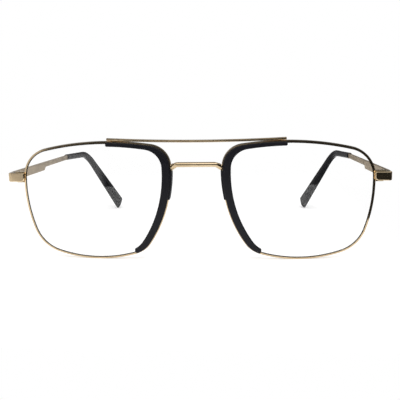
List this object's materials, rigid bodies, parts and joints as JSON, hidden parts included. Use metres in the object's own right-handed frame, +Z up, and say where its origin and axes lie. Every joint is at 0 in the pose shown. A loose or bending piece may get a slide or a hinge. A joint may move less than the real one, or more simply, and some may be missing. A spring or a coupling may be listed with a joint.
{
  "type": "double bridge glasses",
  "caption": "Full-rim metal spectacles with a brow bar over a lower bridge, plastic nasal trims, clear lenses and hinged temples with bent tips.",
  "frame": {"origin": "centre of the box round the open glasses, on the surface that they stand on", "axes": "+X to the side of the right-hand pieces as seen from the front, +Y from the front towards the temple tips, +Z up"},
  "size_m": [0.141, 0.1216, 0.046],
  "materials": {
    "gold_metal": "polished",
    "trim_plastic": "matte",
    "tip_plastic": "gloss",
    "demo_lens": "gloss",
    "screw_metal": "satin"
  },
  "bodies": {
    "front": {"top_bar": "gold_metal", "lower_bridge": "gold_metal", "rim_left": "gold_metal", "rim_right": "gold_metal", "lens_left": "demo_lens", "lens_right": "demo_lens", "nasal_trim_left": "trim_plastic", "nasal_trim_right": "trim_plastic", "end_piece_left": "gold_metal", "end_piece_right": "gold_metal", "closing_block_upper_left": "gold_metal", "closing_block_upper_right": "gold_metal", "closing_block_lower_left": "gold_metal", "closing_block_lower_right": "gold_metal", "rim_screw_left": "screw_metal", "rim_screw_right": "screw_metal", "front_hinge_left": "gold_metal", "front_hinge_right": "gold_metal", "hinge_screw_left": "screw_metal", "hinge_screw_right": "screw_metal"},
    "temple_left": {"temple_left": "gold_metal", "temple_hinge_left": "gold_metal", "temple_tip_left": "tip_plastic"},
    "temple_right": {"temple_right": "gold_metal", "temple_hinge_right": "gold_metal", "temple_tip_right": "tip_plastic"}
  },
  "joints": [
    {"name": "temple_left_fold", "type": "hinge", "parent": "front", "child": "temple_left", "pos_m": [-0.0675, -0.05085, 0.0314], "axis": [0, 0, -1], "range_deg": [0, 70]},
    {"name": "temple_right_fold", "type": "hinge", "parent": "front", "child": "temple_right", "pos_m": [0.0675, -0.05085, 0.0314], "axis": [0, 0, 1], "range_deg": [0, 80]}
  ]
}
